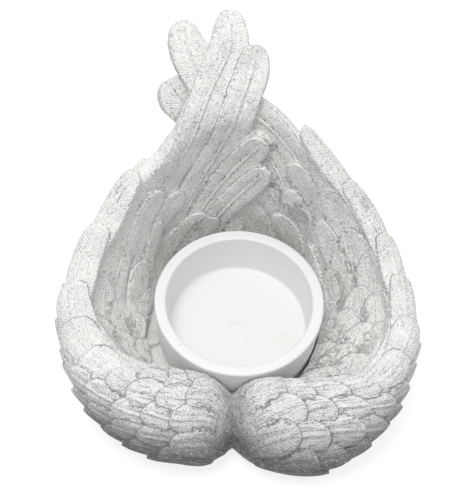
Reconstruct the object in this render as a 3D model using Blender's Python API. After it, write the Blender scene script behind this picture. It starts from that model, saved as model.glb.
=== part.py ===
"""Candle holder: two folded angel wings cast in one bowl, with a moulded tealight cup glued in.

Metres, +Z up. The origin is on the cup's axis, on the flat underside. The wings meet at the
front (-Y), fold round the cup and cross their tips at the back (+Y).
"""
import math
import random

import bmesh
import bpy
import numpy as np

for leftover in list(bpy.data.objects):
    bpy.data.objects.remove(leftover, do_unlink=True)

# Tealight cup: the bore takes a standard tealight
CUP_BORE_RADIUS = 0.0205
CUP_WALL = 0.0032
CUP_DEPTH = 0.0140
CUP_BASE = 0.0040
CUP_TAPER = 0.0011
CUP_EDGE = 0.0007
CUP_SEGMENTS = 72

# Seat of the cup in the bowl's floor
BOWL_FLOOR = 0.0065
SEAT_DEPTH = 0.0008
GLUE_GAP = 0.0003
SEAT_CLEARANCE = 0.0004

# Wing walls. A spread is measured from the cup's outer wall to the middle of the wing's wall
SEAM_OFFSET = 0.0028
LOBE_HEIGHT = 0.0280
BACK_HEIGHT = 0.0605
LEFT_SPREAD = 0.0200
RIGHT_SPREAD = 0.0234
LOBE_THICKNESS = 0.0185
BACK_THICKNESS = 0.0040
# Each row of a wing is one station: degrees round from the front seam, height of the rim from
# the lobes' (0) to the back's (1), shares of the spread at the rim, the belly and the foot,
# and thickness from the back's (0) to the lobes' (1)
LEFT_WING = (
    (0, -0.34, 0.28, 0.26, 0.10, 0.59),
    (10, -0.11, 0.36, 0.42, 0.18, 0.90),
    (22, -0.02, 0.45, 0.45, 0.20, 1.00),
    (45, 0.00, 0.64, 0.59, 0.31, 0.97),
    (66, 0.00, 0.85, 0.81, 0.50, 0.57),
    (84, 0.05, 0.98, 0.96, 0.65, 0.17),
    (108, 0.29, 0.81, 0.81, 0.57, 0.07),
    (130, 0.60, 0.67, 0.67, 0.47, 0.04),
    (153, 0.86, 0.61, 0.55, 0.34, 0.07),
    (172, 1.00, 0.68, 0.54, 0.30, 0.04),
    (186, 0.98, 0.70, 0.54, 0.30, 0.00),
)
RIGHT_WING = (
    (0, -0.34, 0.24, 0.22, 0.09, 0.59),
    (8, -0.11, 0.34, 0.39, 0.15, 0.90),
    (18, -0.02, 0.44, 0.54, 0.24, 1.00),
    (37, 0.00, 0.69, 0.75, 0.39, 0.97),
    (54, 0.02, 0.95, 0.96, 0.61, 0.41),
    (72, 0.03, 1.00, 0.99, 0.66, 0.15),
    (92, 0.15, 0.85, 0.85, 0.59, 0.07),
    (112, 0.40, 0.67, 0.68, 0.50, 0.04),
    (132, 0.68, 0.49, 0.51, 0.40, 0.03),
    (152, 0.89, 0.48, 0.44, 0.29, 0.00),
    (172, 0.96, 0.65, 0.53, 0.30, 0.00),
    (198, 0.94, 0.71, 0.60, 0.34, 0.00),
)
BELLY_HEIGHT = 0.40
BELLY_STRETCH = 1.04
TIP_LEAN = math.radians(54)
TIP_BEND = 0.005

# The bowl's inner slope towards the cup: its stand-off and height there, its curve, and the
# turns over which it fades out. Then the curved band that leans outwards on top of the rim
SLOPE_GAP = 0.0022
SLOPE_HEIGHT = 0.0100
SLOPE_CURVE = 0.80
SLOPE_FADE = (120, 150)
CREST_RADIUS = 0.0070
CREST_LEAN = math.radians(28)

# Shape of one feather: its outline as shares of its length and width, then its shaft, the
# grooves beside it and its domed face
FULL_WIDTH_AT = 0.45
LAST_ROW = 0.994
ROW_CROWDING = 1.5
ROUND_TIP = 2.2
SQUARE_TIP = 14.0
EDGE_ROUND = 5.0
SHAFT_WIDTH = 0.00060
SHAFT_HEIGHT = 0.00030
SHAFT_END = 0.18
GROOVE_PLACE = 0.00110
GROOVE_DEPTH = 0.00042

# How a feather lies on the wall
ROOT_SINK = 0.0006
SKIN_DEPTH = 0.0012

# How much a carver's hand varies them: shares of size and lift, degrees of rise
SIZE_VARIES = (0.92, 1.08)
WIDTH_VARIES = (0.95, 1.08)
LIFT_VARIES = (0.8, 1.2)
OUTER_RISE_VARIES = (-7, 7)
INNER_RISE_VARIES = (-5, 5)

# Rows of feathers on the outside. A pair holds the value at the front lobes and at the back.
# Distances are measured over the wall from the rim, outside as negative values
LOBE_END = 62
BACK_START = 125
ROW_END = 2
ROW_CLEARANCE = 0.002
OUTER_ROWS = {"rows": 12, "first": 0.0040, "start": 3.0, "stagger": 5.0,
              "pitch": (0.0058, 0.0070), "length": (0.0102, 0.0240), "width": (0.0082, 0.0092),
              "rise": (4, 46), "spacing": (0.63, 0.50), "tip_lift": (0.0015, 0.0012),
              "dome": (0.0012, 0.0008)}

# Feathers of the inner face: turn of the tip and how many pitches it lies below the rim
INNER_LENGTH = 0.0175
INNER_WIDTH = 0.0112
INNER_RISE = (12, 50)
INNER_TURNS = (125, 170)
INNER_TIP_LIFT = 0.0016
INNER_DOME = 0.0005
INNER_PITCH = 0.0060
INNER_OUTLINE = {"tip_start": 0.68, "root_share": 0.95}
LEFT_INNER = (
    (169, 5.8), (161, 4.9), (152, 2.5), (141, 1.2), (139, 3.1), (116, 0.9), (121, 3.1), (115, 4.2),
    (99, 0.5), (96, 1.7), (97, 2.8), (100, 4.0), (84, 0.3), (82, 1.4), (80, 2.5), (66, 0.7), (62, 1.7),
)
RIGHT_INNER = (
    (176, 5.5), (156, 4.9), (153, 2.8), (153, 0.9), (132, 0.3), (134, 4.4), (130, 2.1), (116, 0.7),
    (115, 1.9), (113, 2.9), (109, 3.8), (103, 0.2), (96, 1.2), (90, 2.0), (89, 0.2), (89, 2.8),
    (80, 1.0), (78, 0.0), (72, 1.6), (74, 2.4), (66, 0.7), (58, 1.5), (54, 0.3),
)

# Rim feathers: turn of the tip, then shares of the shift across the rim, of the length, of the
# width and of how proud the tip stands
RIM_SHIFT = 0.0010
RIM_LENGTH = 0.0200
RIM_WIDTH = 0.0080
RIM_PROUD = 0.0020
RIM_ROOT_SHIFT = 0.0015
RIM_DEPTH = 0.0038
RIM_ROWS = 26
RIM_OUTLINE = {"tip_start": 0.45, "blunt": 0.55, "shaft": 0.5}
LEFT_RIM = (
    (66, 0.6, 0.85, 1.50, 0.60),
    (79, 0.4, 0.95, 1.44, 0.75),
    (92, 0.2, 1.05, 1.31, 0.90),
    (112, 0.6, 1.15, 1.10, 1.10),
    (133, 1.0, 1.25, 0.95, 1.10),
)
RIGHT_RIM = (
    (65, -0.2, 0.80, 1.06, 0.70),
    (77, -0.2, 0.90, 1.00, 1.00),
    (91, 0.2, 1.00, 0.93, 1.00),
    (105, 0.4, 1.05, 0.88, 1.00),
    (126, 0.4, 1.15, 0.85, 1.10),
    (152, 0.4, 1.35, 0.80, 1.80),
)

# Flight feathers of the inner face, which run past the rim as the crossed tips: shares of the
# width, of the root's width and of the lift at root and tip, then the path from root to tip as
# turn and distance down from the rim, a share of the reach
BLADE_DOME = 0.0004
FLIGHT_WIDTH = 0.0100
FLIGHT_LIFT = 0.0010
TIP_REACH = 0.0288
BLADE_THICKNESS = 0.0030
FLIGHT_ROWS = 40
FLIGHT_OUTLINE = {"tip_start": 0.74, "blunt": 0.2, "shaft": 1.2}
LEFT_FLIGHT = (
    (1.12, 1.50, -0.4, 1.0, ((133, 0.49), (144, 0.23), (157, -0.02),
                             (168, -0.28), (177, -0.62), (178, -1.00))),
    (0.95, 1.30, -0.4, 2.0, ((147, 0.99), (159, 0.68), (171, 0.31),
                             (179.5, -0.10), (185, -0.45), (185.5, -0.69))),
    (0.90, 1.15, -0.4, 2.6, ((150, 1.39), (170, 0.83), (183, 0.43), (193, 0.12))),
    (0.86, 1.15, -0.4, 3.0, ((160, 1.63), (178, 1.04), (196, 0.47))),
)
RIGHT_FLIGHT = (
    (1.08, 1.20, -0.2, 0.0, ((132, 0.49), (147, 0.17), (163, 0.02), (180, -0.10),
                             (189.5, -0.30), (194.5, -0.64), (195, -0.96))),
    (1.20, 1.10, 1.0, -3.0, ((146, 0.83), (160, 0.45), (174, 0.25), (188, 0.05),
                             (196, -0.11), (200.3, -0.29), (201.8, -0.48))),
)

# Surface of the casting
CASTING_VOXEL = 0.00062
CASTING_TRIANGLES = 10600
BELOW_FLOOR = 0.003
WELL_ABOVE_CUP = 0.006

CUP_OUTER_RADIUS = CUP_BORE_RADIUS + CUP_WALL
CUP_HEIGHT = CUP_DEPTH + CUP_BASE
CUP_FOOT_RADIUS = CUP_OUTER_RADIUS - CUP_TAPER
SEAT_HEIGHT = BOWL_FLOOR - SEAT_DEPTH
CUP_BOTTOM = SEAT_HEIGHT + GLUE_GAP
CUP_TOP = CUP_BOTTOM + CUP_HEIGHT


def glide(at, places, values):
    """Smooth curve through a table's values."""
    slopes = np.gradient(values, places)
    at = np.clip(at, places[0], places[-1])
    i = np.clip(np.searchsorted(places, at, side="right") - 1, 0, len(places) - 2)
    span = places[i + 1] - places[i]
    t = (at - places[i]) / span
    rise = (1 + 2 * t) * (1 - t) ** 2 * values[i] + t * t * (3 - 2 * t) * values[i + 1]
    return rise + span * (t * (1 - t) ** 2 * slopes[i] + t * t * (t - 1) * slopes[i + 1])


class Wing:
    """One wing's wall: a curved sheet of varying thickness with a rounded rim."""

    def __init__(self, side, spread, stations):
        self.side = side
        turn, height, rim, belly, foot, thickness = np.array(stations, dtype=float).T
        height = LOBE_HEIGHT + height * (BACK_HEIGHT - LOBE_HEIGHT)
        thickness = BACK_THICKNESS + thickness * (LOBE_THICKNESS - BACK_THICKNESS)
        self.table = np.stack([turn, height, spread * rim, spread * belly, spread * foot, thickness], -1)
        self.last = turn[-1]

    def size(self, turn, column):
        return glide(turn, self.table[:, 0], self.table[:, column])

    def place(self, turn, radius, height):
        angle = np.radians(turn)
        seam = -SEAM_OFFSET * (1 + np.cos(angle)) / 2
        x = self.side * radius * np.sin(angle) + seam
        return np.stack([x, -radius * np.cos(angle), height + 0 * radius], -1)

    def section(self, turn, rise):
        """Radius, height and direction of the wall's middle, rise 0 at the foot to 1 at the rim."""
        half = self.size(turn, 5) / 2
        rim, belly, foot = (CUP_OUTER_RADIUS + self.size(turn, k) for k in (2, 3, 4))
        top = self.size(turn, 1) - half
        swell = 2 * belly - (rim + foot) / 2
        low = BELLY_HEIGHT * top
        v = np.clip(rise, 0, 1)
        radius = (1 - v) ** 2 * foot + 2 * v * (1 - v) * swell + v * v * rim
        height = 2 * v * (1 - v) * low + v * v * top
        out = 2 * (1 - v) * (swell - foot) + 2 * v * (rim - swell)
        up = 2 * (1 - v) * low + 2 * v * (top - low)
        size = np.hypot(out, up)
        length = np.hypot(rim - foot, top) * BELLY_STRETCH
        height = height + np.minimum(rise, 0) * length
        return radius, height, out / size, up / size, half, length

    def slope_in(self, turn, radius, height, out, up, half):
        """How far the bowl's slope towards the cup stands in from the wall's own inner face."""
        top_radius, top_height, top_out, top_up, _, _ = self.section(turn, 1.0 + 0 * turn)
        rim, level = top_radius - half * top_up, top_height + half * top_out
        foot = CUP_OUTER_RADIUS + SLOPE_GAP
        share = np.clip((height + half * out - SLOPE_HEIGHT) / (level - SLOPE_HEIGHT), 0, 1)
        slope = foot + (rim - foot) * share ** SLOPE_CURVE
        keep = np.clip((SLOPE_FADE[1] - turn) / (SLOPE_FADE[1] - SLOPE_FADE[0]), 0, 1)
        return np.maximum(radius - half * up - slope, 0) * keep * keep * (3 - 2 * keep)

    def crest(self, turn, across, lift=0.0):
        """A point on the gently curved band that leans outwards on top of the rim."""
        radius, height, _, _, half, _ = self.section(turn, 1.0 + 0 * turn)
        angle = CREST_LEAN - across / CREST_RADIUS
        inset = half - CREST_RADIUS
        radius = radius + inset * math.sin(CREST_LEAN) + (CREST_RADIUS + lift) * np.sin(angle)
        height = height + inset * math.cos(CREST_LEAN) + (CREST_RADIUS + lift) * np.cos(angle)
        return self.place(turn, radius, height)

    def over(self, turn, across, lift=0.0):
        """A point on the wall: across is the way from the top of the rim, negative outside."""
        turn, across = np.broadcast_arrays(np.asarray(turn, float), np.asarray(across, float))
        half = self.size(turn, 5) / 2
        quarter = math.pi / 2 * half
        down = np.maximum(np.abs(across) - quarter, 0)
        length = self.section(turn, 1.0 + 0 * turn)[5]
        radius, height, out, up, half, _ = self.section(turn, 1 - down / length)
        roll = np.clip(across / half, -math.pi / 2, math.pi / 2)
        on_rim = np.abs(across) <= quarter
        reach = half + lift
        inwards = np.where(across > 0, self.slope_in(turn, radius, height, out, up, half), 0)
        radius = radius - reach * np.sin(roll) * up + reach * np.cos(roll) * out * on_rim - inwards
        height = height + reach * np.sin(roll) * out + reach * np.cos(roll) * up * on_rim
        return self.place(turn, radius, height)

    def sheet(self, turn, down, lift=0.0):
        """A point on the inner face, which runs on past the rim where down is negative."""
        turn, down = np.broadcast_arrays(np.asarray(turn, float), np.asarray(down, float))
        length = self.section(turn, 1.0 + 0 * turn)[5]
        radius, height, out, up, half, _ = self.section(turn, 1 - np.maximum(down, 0) / length)
        radius = radius - self.slope_in(turn, radius, height, out, up, half)
        past = np.maximum(-down, 0)
        bent = past - TIP_BEND * (1 - np.exp(-past / TIP_BEND))
        lean = np.where(past > 0, TIP_LEAN * (1 - np.exp(-past / TIP_BEND)), 0)
        radius = radius + out * past + math.sin(TIP_LEAN) * bent
        height = height + up * past - (1 - math.cos(TIP_LEAN)) * bent
        slope_out = out * np.cos(lean) + up * np.sin(lean)
        slope_up = up * np.cos(lean) - out * np.sin(lean)
        reach = half + lift
        return self.place(turn, radius - reach * slope_up, height + reach * slope_out)


def add_block(bm, front, back):
    """A closed slab between two grids of points of the same size."""
    rows, columns = front.shape[:2]
    top = [[bm.verts.new(point) for point in row] for row in front]
    under = [[bm.verts.new(point) for point in row] for row in back]
    for i in range(rows - 1):
        for j in range(columns - 1):
            bm.faces.new((top[i][j], top[i][j + 1], top[i + 1][j + 1], top[i + 1][j]))
            bm.faces.new((under[i][j], under[i + 1][j], under[i + 1][j + 1], under[i][j + 1]))
    ring = [(0, j) for j in range(columns)] + [(i, columns - 1) for i in range(1, rows)]
    ring += [(rows - 1, j) for j in range(columns - 2, -1, -1)] + [(i, 0) for i in range(rows - 2, 0, -1)]
    for (i, j), (k, l) in zip(ring, ring[1:] + ring[:1]):
        bm.faces.new((top[k][l], top[i][j], under[i][j], under[k][l]))


def add_feather(bm, surface, path, width, tip_lift, root_lift, thickness, dome, tip_start=0.60,
                blunt=0.0, shaft=1.0, root_share=0.72, rows=16, columns=11):
    """One carved feather: path holds (turn, distance) points from its root to its tip."""
    path = np.array(path, dtype=float)
    knots = np.linspace(0, 1, len(path))
    along = LAST_ROW * (1 - (1 - np.linspace(0, 1, rows)) ** ROW_CROWDING)
    t = np.linspace(-1, 1, columns)[None, :]
    turn = glide(along, knots, path[:, 0])
    distance = glide(along, knots, path[:, 1])
    radius = np.hypot(*surface(turn, distance, 0.0)[:, :2].T)
    round_way = np.gradient(np.radians(turn), along) * radius
    down_way = np.gradient(distance, along)
    speed = np.hypot(round_way, down_way)
    tip = np.clip((along - tip_start) / (1 - tip_start), 0, 1)
    swell = root_share + (1 - root_share) * np.clip(along / FULL_WIDTH_AT, 0, 1)
    taper = (1 - blunt) * np.sqrt(1 - tip ** ROUND_TIP) + blunt * np.sqrt(1 - tip ** SQUARE_TIP)
    half_width = width / 2 * taper * swell
    u = turn[:, None] - np.degrees(down_way / speed * half_width / radius)[:, None] * t
    w = distance[:, None] + (round_way / speed * half_width)[:, None] * t
    off = half_width[:, None] * t
    ridge = SHAFT_HEIGHT * np.exp(-(off / SHAFT_WIDTH) ** 2)
    groove = GROOVE_DEPTH * np.exp(-((np.abs(off) - GROOVE_PLACE) / SHAFT_WIDTH) ** 2)
    fade = np.clip((1 - along) / SHAFT_END, 0, 1)[:, None] * shaft
    lift = root_lift + (tip_lift - root_lift) * along[:, None]
    lift = lift + dome * (1 - np.abs(t) ** EDGE_ROUND) + (ridge - groove) * fade
    add_block(bm, surface(u, w, lift), surface(u, w, lift - thickness))


def add_wall(bm, wing, columns=64, rows=46):
    """The plain wall of a wing, as slabs between its inner and outer face."""
    turn = np.linspace(0, wing.last, columns)
    length = wing.section(turn, 1.0 + 0 * turn)[5] + wing.size(turn, 5) * math.pi / 4 + BELOW_FLOOR
    share = np.linspace(0, 1, rows)
    inner = np.array([wing.over(turn, share_down * length) for share_down in share])
    outer = np.array([wing.over(turn, -share_down * length) for share_down in share])
    loops = np.concatenate([inner[::-1], outer[1:]])
    rings = [[bm.verts.new(point) for point in loops[:, k]] for k in range(columns)]
    for ring, following in zip(rings, rings[1:]):
        for k in range(len(ring)):
            n = (k + 1) % len(ring)
            bm.faces.new((ring[k], ring[n], following[n], following[k]))
    bm.faces.new(rings[0][::-1])
    bm.faces.new(rings[-1])


def add_floor(bm, wings):
    """The bowl's floor, out to the middle of the walls."""
    left, right = wings
    turns = np.linspace(0, 180, 40)
    outline = [left.place(t, left.section(t, 0.0)[0], 0.0) for t in turns]
    outline += [right.place(t, right.section(t, 0.0)[0], 0.0) for t in turns[-2:0:-1]]
    low = [bm.verts.new((x, y, -BELOW_FLOOR)) for x, y, _ in outline]
    high = [bm.verts.new((x, y, BOWL_FLOOR)) for x, y, _ in outline]
    bm.faces.new(low[::-1])
    bm.faces.new(high)
    for k in range(len(low)):
        n = (k + 1) % len(low)
        bm.faces.new((low[k], low[n], high[n], high[k]))


def between(turn, first, last):
    """0 before the first turn, 1 after the last, smooth between."""
    t = min(max((turn - first) / (last - first), 0), 1)
    return t * t * (3 - 2 * t)


def add_outer_rows(bm, wing, dice):
    """Staggered rows of feathers, each tip lying over the root of the next one round."""
    for row in range(OUTER_ROWS["rows"]):
        turn = OUTER_ROWS["start"] + row % 2 * OUTER_ROWS["stagger"]
        while turn < wing.last:
            share = between(turn, LOBE_END, BACK_START)
            pitch, length, width, rise, spacing, tip_lift, dome = (
                OUTER_ROWS[key][0] + (OUTER_ROWS[key][1] - OUTER_ROWS[key][0]) * share
                for key in ("pitch", "length", "width", "rise", "spacing", "tip_lift", "dome"))
            length *= dice.uniform(*SIZE_VARIES)
            width *= dice.uniform(*SIZE_VARIES)
            rise += dice.uniform(*OUTER_RISE_VARIES)
            tip_lift *= dice.uniform(*LIFT_VARIES)
            radius, _, _, _, half, wall = wing.section(turn, 0.5)
            root = -OUTER_ROWS["first"] - pitch * row
            step = np.degrees(length * math.cos(math.radians(rise)) / radius)
            tip = root + length * math.sin(math.radians(rise))
            on_wall = -root < wall + half * math.pi / 2 - ROW_CLEARANCE
            if on_wall and tip < 0 and turn + step < wing.last - ROW_END:
                path = ((turn, root), (turn + step / 2, (root + tip) / 2), (turn + step, tip))
                add_feather(bm, wing.over, path, width, tip_lift, -ROOT_SINK, SKIN_DEPTH + tip_lift,
                            dome)
            turn += np.degrees(length * spacing / radius)


def add_inner_feathers(bm, wing, tips, dice):
    """Overlapping feathers on the inner face, placed by their tips."""
    for turn, rows_down in tips:
        down = INNER_PITCH * rows_down
        share = between(turn, *INNER_TURNS)
        rise = INNER_RISE[0] + (INNER_RISE[1] - INNER_RISE[0]) * share
        rise = math.radians(rise + dice.uniform(*INNER_RISE_VARIES))
        radius = np.hypot(*wing.sheet(np.array([turn]), np.array([down]))[0, :2])
        step = np.degrees(INNER_LENGTH * math.cos(rise) / radius)
        drop = INNER_LENGTH * math.sin(rise)
        path = ((turn - step, down + drop), (turn - step / 2, down + drop / 2), (turn, down))
        add_feather(bm, wing.sheet, path, INNER_WIDTH * dice.uniform(*WIDTH_VARIES), INNER_TIP_LIFT,
                    -ROOT_SINK, SKIN_DEPTH + INNER_TIP_LIFT, INNER_DOME, **INNER_OUTLINE)


def add_rim_feathers(bm, wing, feathers):
    """Long feathers along the rim, each with its tip proud of the wall."""
    for turn, shift, length, width, proud in feathers:
        across = shift * RIM_SHIFT
        step = np.degrees(length * RIM_LENGTH / wing.section(turn, 1.0)[0])
        path = ((turn - step, across + RIM_ROOT_SHIFT), (turn - step / 2, across + RIM_ROOT_SHIFT / 2),
                (turn, across))
        add_feather(bm, wing.crest, path, width * RIM_WIDTH, proud * RIM_PROUD, 0.0, RIM_DEPTH, BLADE_DOME,
                    **RIM_OUTLINE, rows=RIM_ROWS)


def add_flight_feathers(bm, wing, feathers):
    """Long feathers that sweep up the inner face and cross past the rim."""
    for width, root_share, root_lift, tip_lift, path in feathers:
        path = [(turn, down * TIP_REACH) for turn, down in path]
        add_feather(bm, wing.sheet, path, width * FLIGHT_WIDTH, tip_lift * FLIGHT_LIFT,
                    root_lift * FLIGHT_LIFT, BLADE_THICKNESS + max(tip_lift, 0) * FLIGHT_LIFT,
                    BLADE_DOME, **FLIGHT_OUTLINE, root_share=root_share, rows=FLIGHT_ROWS)


def largest_piece(mesh):
    """Keep the mesh's largest connected piece only."""
    bm = bmesh.new()
    bm.from_mesh(mesh)
    unseen = set(bm.verts)
    pieces = []
    while unseen:
        front = [unseen.pop()]
        piece = []
        while front:
            vert = front.pop()
            piece.append(vert)
            for edge in vert.link_edges:
                other = edge.other_vert(vert)
                if other in unseen:
                    unseen.remove(other)
                    front.append(other)
        pieces.append(piece)
    pieces.sort(key=len)
    for piece in pieces[:-1]:
        bmesh.ops.delete(bm, geom=piece, context="VERTS")
    bm.to_mesh(mesh)
    bm.free()


def plain_material(name, colour, roughness):
    material = bpy.data.materials.new(name)
    material.use_nodes = True
    shader = material.node_tree.nodes["Principled BSDF"]
    shader.inputs["Base Color"].default_value = (*colour, 1)
    shader.inputs["Roughness"].default_value = roughness
    shader.inputs["Metallic"].default_value = 0.0
    return material


def add_object(name, mesh, material=None):
    item = bpy.data.objects.new(name, mesh)
    bpy.context.scene.collection.objects.link(item)
    if material:
        mesh.materials.append(material)
    return item


def fused(item, modifiers):
    """The object's mesh after the given modifiers, which are then gone."""
    for kind, settings in modifiers:
        modifier = item.modifiers.new(kind.title(), kind)
        for key, value in settings.items():
            setattr(modifier, key, value)
    bpy.context.view_layer.update()
    seen = item.evaluated_get(bpy.context.evaluated_depsgraph_get())
    mesh = bpy.data.meshes.new_from_object(seen)
    item.modifiers.clear()
    return mesh


def make_wing_bowl():
    wings = Wing(-1, LEFT_SPREAD, LEFT_WING), Wing(1, RIGHT_SPREAD, RIGHT_WING)
    dice = random.Random(11)
    bm = bmesh.new()
    add_floor(bm, wings)
    for wing in wings:
        add_wall(bm, wing)
    for wing in wings:
        add_outer_rows(bm, wing, dice)
    for wing, tips in zip(wings, (LEFT_INNER, RIGHT_INNER)):
        add_inner_feathers(bm, wing, tips, dice)
    for wing, rim, flight in zip(wings, (LEFT_RIM, RIGHT_RIM), (LEFT_FLIGHT, RIGHT_FLIGHT)):
        add_rim_feathers(bm, wing, rim)
        add_flight_feathers(bm, wing, flight)
    bmesh.ops.recalc_face_normals(bm, faces=bm.faces)
    mesh = bpy.data.meshes.new("wing_bowl_raw")
    bm.to_mesh(mesh)
    bm.free()

    item = add_object("wing_bowl", mesh, plain_material("white_resin", (0.80, 0.80, 0.79), 0.55))
    mesh = fused(item, [("REMESH", {"mode": "VOXEL", "voxel_size": CASTING_VOXEL})])
    largest_piece(mesh)
    item.data = mesh
    faces = len(mesh.polygons) * 2
    mesh = fused(item, [
        ("SMOOTH", {"factor": 0.5, "iterations": 2}),
        ("DECIMATE", {"ratio": CASTING_TRIANGLES / faces}),
    ])
    bm = bmesh.new()
    bm.from_mesh(mesh)
    cut = bmesh.ops.bisect_plane(bm, geom=bm.verts[:] + bm.edges[:] + bm.faces[:], plane_co=(0, 0, 0),
                                 plane_no=(0, 0, -1), clear_outer=True)
    rim = [part for part in cut["geom_cut"] if isinstance(part, bmesh.types.BMEdge)]
    bmesh.ops.contextual_create(bm, geom=rim)
    bm.to_mesh(mesh)
    bm.free()
    item.data = mesh

    well = bmesh.new()
    well_top = CUP_TOP + WELL_ABOVE_CUP
    slope = CUP_TAPER / CUP_HEIGHT
    low = CUP_FOOT_RADIUS + SEAT_CLEARANCE
    bmesh.ops.create_cone(well, cap_ends=True, segments=CUP_SEGMENTS, radius1=low,
                          radius2=low + slope * (well_top - SEAT_HEIGHT), depth=well_top - SEAT_HEIGHT)
    bmesh.ops.translate(well, verts=well.verts, vec=(0, 0, (well_top + SEAT_HEIGHT) / 2))
    well_mesh = bpy.data.meshes.new("cup_well")
    well.to_mesh(well_mesh)
    well.free()
    cutter = add_object("cup_well", well_mesh)
    cutter.hide_render = True
    cutter.display_type = "WIRE"
    seat = item.modifiers.new("Cup seat", "BOOLEAN")
    seat.operation = "DIFFERENCE"
    seat.solver = "EXACT"
    seat.object = cutter
    return item


def make_cup():
    """The cup is turned from its wall's profile."""
    edge = CUP_EDGE
    facet = 0.3 * edge
    outer, bore, foot = CUP_OUTER_RADIUS, CUP_BORE_RADIUS, CUP_FOOT_RADIUS
    inside = CUP_BOTTOM + CUP_BASE
    profile = [
        (0, CUP_BOTTOM), (foot - edge, CUP_BOTTOM), (foot, CUP_BOTTOM + edge),
        (outer, CUP_TOP - edge), (outer - facet, CUP_TOP - facet), (outer - edge, CUP_TOP),
        (bore + edge, CUP_TOP), (bore + facet, CUP_TOP - facet), (bore, CUP_TOP - edge),
        (bore - edge, inside), (0, inside),
    ]
    bm = bmesh.new()
    verts = [bm.verts.new((x, 0, z)) for x, z in profile]
    edges = [bm.edges.new(pair) for pair in zip(verts, verts[1:])]
    bmesh.ops.spin(bm, geom=verts + edges, cent=(0, 0, 0), axis=(0, 0, 1), angle=math.tau,
                   steps=CUP_SEGMENTS, use_merge=True)
    bmesh.ops.remove_doubles(bm, verts=bm.verts, dist=1e-6)
    bmesh.ops.recalc_face_normals(bm, faces=bm.faces)
    mesh = bpy.data.meshes.new("tealight_cup")
    bm.to_mesh(mesh)
    bm.free()
    mesh.shade_smooth()
    mesh.set_sharp_from_angle(angle=math.radians(40))
    return add_object("tealight_cup", mesh, plain_material("white_plastic", (0.84, 0.84, 0.84), 0.45))


make_wing_bowl()
make_cup()
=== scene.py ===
# %% [markdown]
# # An angel wing candle holder
# Two feathered wings are cast in one piece of white resin. They meet at the front, fold round a
# plain white cup for a tealight, and cross their tips at the back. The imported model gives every
# size and place: this script carves the fine feathers, finishes the surfaces and lights them.

# %% Load the frame
import math
import random

import bmesh
import bpy
import numpy as np
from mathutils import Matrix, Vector
from mathutils.kdtree import KDTree


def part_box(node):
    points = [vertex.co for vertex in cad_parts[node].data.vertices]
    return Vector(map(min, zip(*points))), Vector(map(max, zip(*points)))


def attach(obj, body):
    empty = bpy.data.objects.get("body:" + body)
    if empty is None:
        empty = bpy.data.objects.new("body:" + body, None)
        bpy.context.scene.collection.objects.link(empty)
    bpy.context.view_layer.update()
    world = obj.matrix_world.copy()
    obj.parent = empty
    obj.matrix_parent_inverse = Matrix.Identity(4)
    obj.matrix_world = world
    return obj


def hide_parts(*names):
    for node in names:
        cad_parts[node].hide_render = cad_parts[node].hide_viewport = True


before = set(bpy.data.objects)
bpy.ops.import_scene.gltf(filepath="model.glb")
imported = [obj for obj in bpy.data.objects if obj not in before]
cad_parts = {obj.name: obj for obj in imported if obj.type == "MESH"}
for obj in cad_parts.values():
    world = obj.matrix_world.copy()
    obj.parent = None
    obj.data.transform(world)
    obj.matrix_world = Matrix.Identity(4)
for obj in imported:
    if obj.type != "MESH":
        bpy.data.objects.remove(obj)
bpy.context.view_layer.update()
cup_low, cup_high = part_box("tealight_cup")

# %% [markdown]
# ## The camera
# The photograph looks down into the bowl. A camera's height, turn and lens can be worked out from
# one known circle in it, because a circle becomes an ellipse: here the cup's rim gave them.

# %% Camera
def add_object(name, data):
    made = bpy.data.objects.new(name, data)
    bpy.context.scene.collection.objects.link(made)
    return made


CAMERA_PLACE = (-0.02095, -0.17065, 0.30567)
CAMERA_TURN = (33.733, -2.248, -2.858)
CAMERA_LENS = 85.135
camera = add_object("photo_camera", bpy.data.cameras.new("photo_camera"))
camera.location = CAMERA_PLACE
camera.rotation_euler = [math.radians(angle) for angle in CAMERA_TURN]
camera.data.lens = CAMERA_LENS
camera.data.sensor_width = 36
camera.data.clip_start = 0.01
bpy.context.scene.camera = camera
print("camera looks down from", round(CAMERA_PLACE[2], 3), "m")

# %% [markdown]
# ## The cup's measures
# The cup stands in a shallow seat in the bowl's floor. Its box in the frame gives its outer
# radius, its foot and its rim, so nothing here is typed twice.

# %% Measures from the frame
CUP_WALL = 0.0032
CUP_DEPTH = 0.0140
CUP_TAPER = 0.0011
BOWL_FLOOR = 0.0065
SEAT_CLEARANCE = 0.0004
GLUE_GAP = 0.0003
cup_radius = (cup_high[0] - cup_low[0]) / 2
cup_bottom, cup_top = cup_low[2], cup_high[2]
cup_foot = cup_radius - CUP_TAPER
print(f"cup {cup_radius * 2000:.1f} mm across, {(cup_top - cup_bottom) * 1000:.1f} mm high")

# %% [markdown]
# ## The wing's wall
# Each wing is a curved wall that grows from a thick rolled lobe at the front to a thin, high sheet
# at the back. It could be sculpted, but then no feather could find its place on it. Instead a few
# stations round the bowl say how high, how far out and how thick the wall is, and a smooth curve
# joins them. Any point of the wall then has an address: how far round, and how far over the rim.

# %% Stations of the two wings
SEAM_OFFSET = 0.0028
LOBE_HEIGHT = 0.0280
BACK_HEIGHT = 0.0605
LEFT_SPREAD = 0.0200
RIGHT_SPREAD = 0.0234
LOBE_THICKNESS = 0.0185
BACK_THICKNESS = 0.0040
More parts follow.
